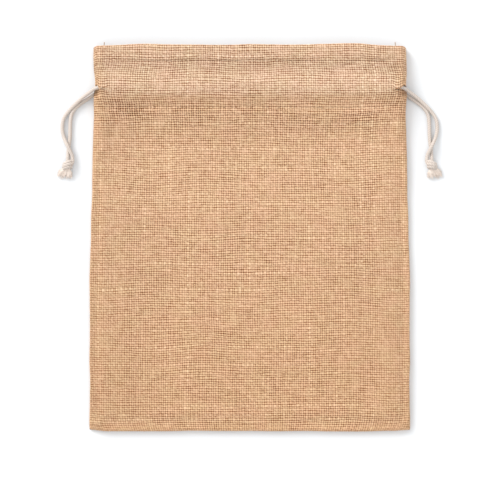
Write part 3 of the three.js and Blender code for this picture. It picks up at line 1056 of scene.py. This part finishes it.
# The two visible strands, as points (outwards, towards the mouth, up) from slit to knot.
FRONT_TAIL = [
    (118.3, 117.9, 9.9), (121.6, 116.7, 7.6), (125.6, 114, 5.6), (130.4, 110.6, 4.2), (134, 107.6, 3.4),
    (137.2, 104.6, 3.0), (139.9, 102, 2.5), (142.3, 99.4, 1.8), (144.6, 96.5, 1.45), (146.3, 93.2, 1.45),
    (147.2, 88.2, 1.45), (147, 83.4, 1.45), (146.1, 79.6, 1.7), (144.7, 76, 2.9), (142.9, 72.4, 4.35),
    (140.9, 68.4, 3.9), (139.4, 64.8, 3.1), (139.1, 62.6, 2.9),
]
BACK_TAIL = [
    (117.4, 116.9, 2.4), (119.6, 114.8, 2.4), (122.7, 112.5, 2.35), (126.6, 109.8, 1.5), (130.6, 107.1, 1.45),
    (134.2, 104.4, 1.45), (137, 101.8, 1.45), (139.1, 98.8, 1.45), (140.4, 95.2, 1.45), (140.9, 91, 1.45),
    (141.1, 85.6, 1.45), (141.2, 79.8, 1.45), (141.7, 74.4, 1.45), (142.4, 69.4, 1.45), (142.7, 65.4, 1.9),
    (142.8, 62.4, 2.7),
]
KNOT = np.array([142.9, 57, 3.2])
# the last column is painted shade; the lowest wrap takes most, in the crease above the frayed ends
KNOT_WRAPS = (  # place along the knot, tilt, half width, half height, thickness, shade
    (2.0, 22, 2.75, 1.75, 1.35, 0.0), (0.1, 18, 3.1, 1.95, 1.45, 0.1), (-1.9, 12, 2.7, 1.75, 1.35, 0.35),
)
THROUGH_KNOT = (  # where each tail goes on inside it
    (FRONT_TAIL[-1], (138.9, 60.3, 3.1), (139.9, 58, 3.2), (142, 56.2, 3.2), (144.4, 54.6, 2.8)),
    (BACK_TAIL[-1], (142.8, 60, 3.1), (142.9, 57.2, 3.2), (142.6, 54.4, 2.8)),
)


def run_y(side):
    return CORD_Y - side * CORD_PITCH / 2


def string_piece(strands, piece_name, name, node):
    """A finished piece of a drawstring, with what it follows and what it stands for."""
    piece = strands.build(piece_name, COTTON)
    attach(piece, f"{name}_drawstring")
    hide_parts(node)
    return piece


def tail(name, side, where, z, route):
    start = LOOP_OUT + 0.3
    points = np.array([(start, run_y(side), z), (start + 1.2, run_y(side), z), *route])
    path, length = spline(points * [side, 1, 1], 0.3)
    strand = Strands().add(path, CORD / 2 * PLUMP, **ROPE, phase=side + z)
    return string_piece(strand, f"{name}_{where}_strand", name, f"{name}_{where}_tail"), path, length


def loop(name, side):
    """The cord in the casing: along the front, round the far side and along the back."""
    y = run_y(side)
    radius = (FRONT_RUN_Z - BACK_RUN_Z) / 2
    run_x = np.arange(LOOP_OUT, -LOOP_FAR, -0.6)
    turn = np.linspace(0, np.pi, 40)
    path = np.vstack([
        np.column_stack([run_x, np.full_like(run_x, y), np.full_like(run_x, FRONT_RUN_Z)]),
        np.column_stack([-LOOP_FAR - radius * np.sin(turn), np.full_like(turn, y),
                         BACK_RUN_Z + radius * (1 + np.cos(turn))]),
        np.column_stack([run_x[::-1], np.full_like(run_x, y), np.full_like(run_x, BACK_RUN_Z)]),
    ]) * [side, 1, 1]
    string_piece(Strands().add(path, CORD / 2, **ROPE), f"{name}_loop_cord", name, f"{name}_cord_loop")


def knot(name, side):
    """An overhand knot in the doubled cord: slanting wraps, drawn tight round the two strands."""
    mirror = np.array([side, 1, 1])
    tied = Strands()
    turn = np.linspace(0, 2 * np.pi, 61)[:-1]
    for number, (place, tilt, wide, tall, thick, shade) in enumerate(KNOT_WRAPS):
        x, z = wide * np.cos(turn), tall * np.sin(turn)
        y = place - math.tan(math.radians(tilt)) * x + 0.35 * np.sin(turn)
        ring = (np.column_stack([x, y, z]) + KNOT) * mirror
        tied.add(ring, thick, 20, 3, 5.2, 0.12, closed=True, phase=number, shade=shade)
    for route in THROUGH_KNOT:
        tied.add(spline(np.array(route) * mirror, 0.3)[0], CORD / 2 * PLUMP, **ROPE)
    return string_piece(tied, f"{name}_knot_tied", name, f"{name}_knot")


LOCKS = 15  # in one frayed end
LOCK_FIBRES = 9


def frayed_end(name, side, where, root, angle, length, spread, seed):
    """A cord's end come undone: fibres in loose locks that open out into a fan and lie down."""
    rng = np.random.default_rng(seed)
    fan = Strands()
    t = np.linspace(0, 1, 9)
    for lock in range(LOCKS):
        lean = 2 * (lock + 0.5) / LOCKS - 1
        reach = length * (1 - 0.10 * lean * lean) * rng.uniform(0.72, 1.06)
        lift = rng.uniform(0.0, 1.8)
        # painted light: each lock's colour made paler, standing in for light that passes through the loose
        # fibres
        shade = rng.uniform(-1.9, -1.4)
        for _ in range(LOCK_FIBRES):
            heading = math.radians(angle + lean * spread + rng.normal(0, 3.5))
            bow = rng.normal(0, 0.5) * np.sin(t * rng.uniform(2.0, 4.5))
            along = t * reach * rng.uniform(0.75, 1.08)
            start = np.array(root[:2]) + np.array([-math.sin(heading), math.cos(heading)]) * lean * 0.9
            x = start[0] + math.cos(heading) * along - math.sin(heading) * bow
            y = start[1] + math.sin(heading) * along + math.cos(heading) * bow
            z = root[2] * (1 - t) ** 1.5 + 0.3 + lift * np.sin(t * 2.3) + rng.uniform(0, 0.3)
            path = np.column_stack([x * side, y, z])
            fan.add(path, rng.uniform(0.16, 0.28), 6, tapers=(1.2, 0.3), phase=rng.uniform(0, 3),
                    shade=shade + rng.uniform(-0.2, 0.3))
    return string_piece(fan, f"{name}_{where}_fray", name, f"{name}_{where}_end")


def drawstring(name, side):
    loop(name, side)
    front = tail(name, side, "front", FRONT_RUN_Z, FRONT_TAIL)
    back = tail(name, side, "back", BACK_RUN_Z, BACK_TAIL)
    on_front = [
        knot(name, side),
        frayed_end(name, side, "front", (144.0, 54.6, 2.4), -46, 9.4, 20, 61),
        frayed_end(name, side, "back", (142.7, 54.4, 2.4), -90, 8.2, 27, 62),
    ]
    for (piece, path, length), with_pieces in ((front, on_front), (back, [])):
        tuple(path[0] * MM)
        float(length * MM)
        (path[::3] * MM).tolist()


# ---- assembly ----

for string, hand in SIDES:
    drawstring(string, hand)
back_pieces()
front_pieces()
hem_pieces("front", front_hem_height, True, 42)
hem_pieces("back", back_hem_height, False, 43)
for string, hand in SIDES:
    allowance(f"{string}_seam_allowance", hand, BLEND_BODY)
    allowance(f"{string}_header_allowance", hand, -BLEND_FRILL)
allowance("bottom_seam_allowance", 0, None)
all_stitching()


# ---- floor and light ----

FLOOR_Z = -0.0004
WHITE = (1.0, 1.0, 1.0, 1.0)
SKY_STRENGTH = 1.14
SUN_STRENGTH = 2.5
SUN_SPREAD = 30  # degrees
SUN_TURN = (-39, -50, 0)


def studio():
    bpy.ops.mesh.primitive_plane_add(size=8, location=(0, 0, FLOOR_Z))
    floor = bpy.context.active_object
    floor.name = "floor"
    floor.data.materials.append(FLOOR)

    world = bpy.data.worlds.new("studio")
    bpy.context.scene.world = world
    world.use_nodes = True
    sky = world.node_tree.nodes["Background"].inputs
    sky["Color"].default_value = WHITE
    sky["Strength"].default_value = SKY_STRENGTH

    sun_data = bpy.data.lights.new("key", "SUN")
    sun_data.energy = SUN_STRENGTH
    sun_data.angle = math.radians(SUN_SPREAD)
    sun = placed("key", sun_data)
    sun.rotation_euler = [math.radians(turn) for turn in SUN_TURN]

    settings = bpy.context.scene.view_settings
    settings.view_transform = "Standard"
    settings.look = "None"


studio()
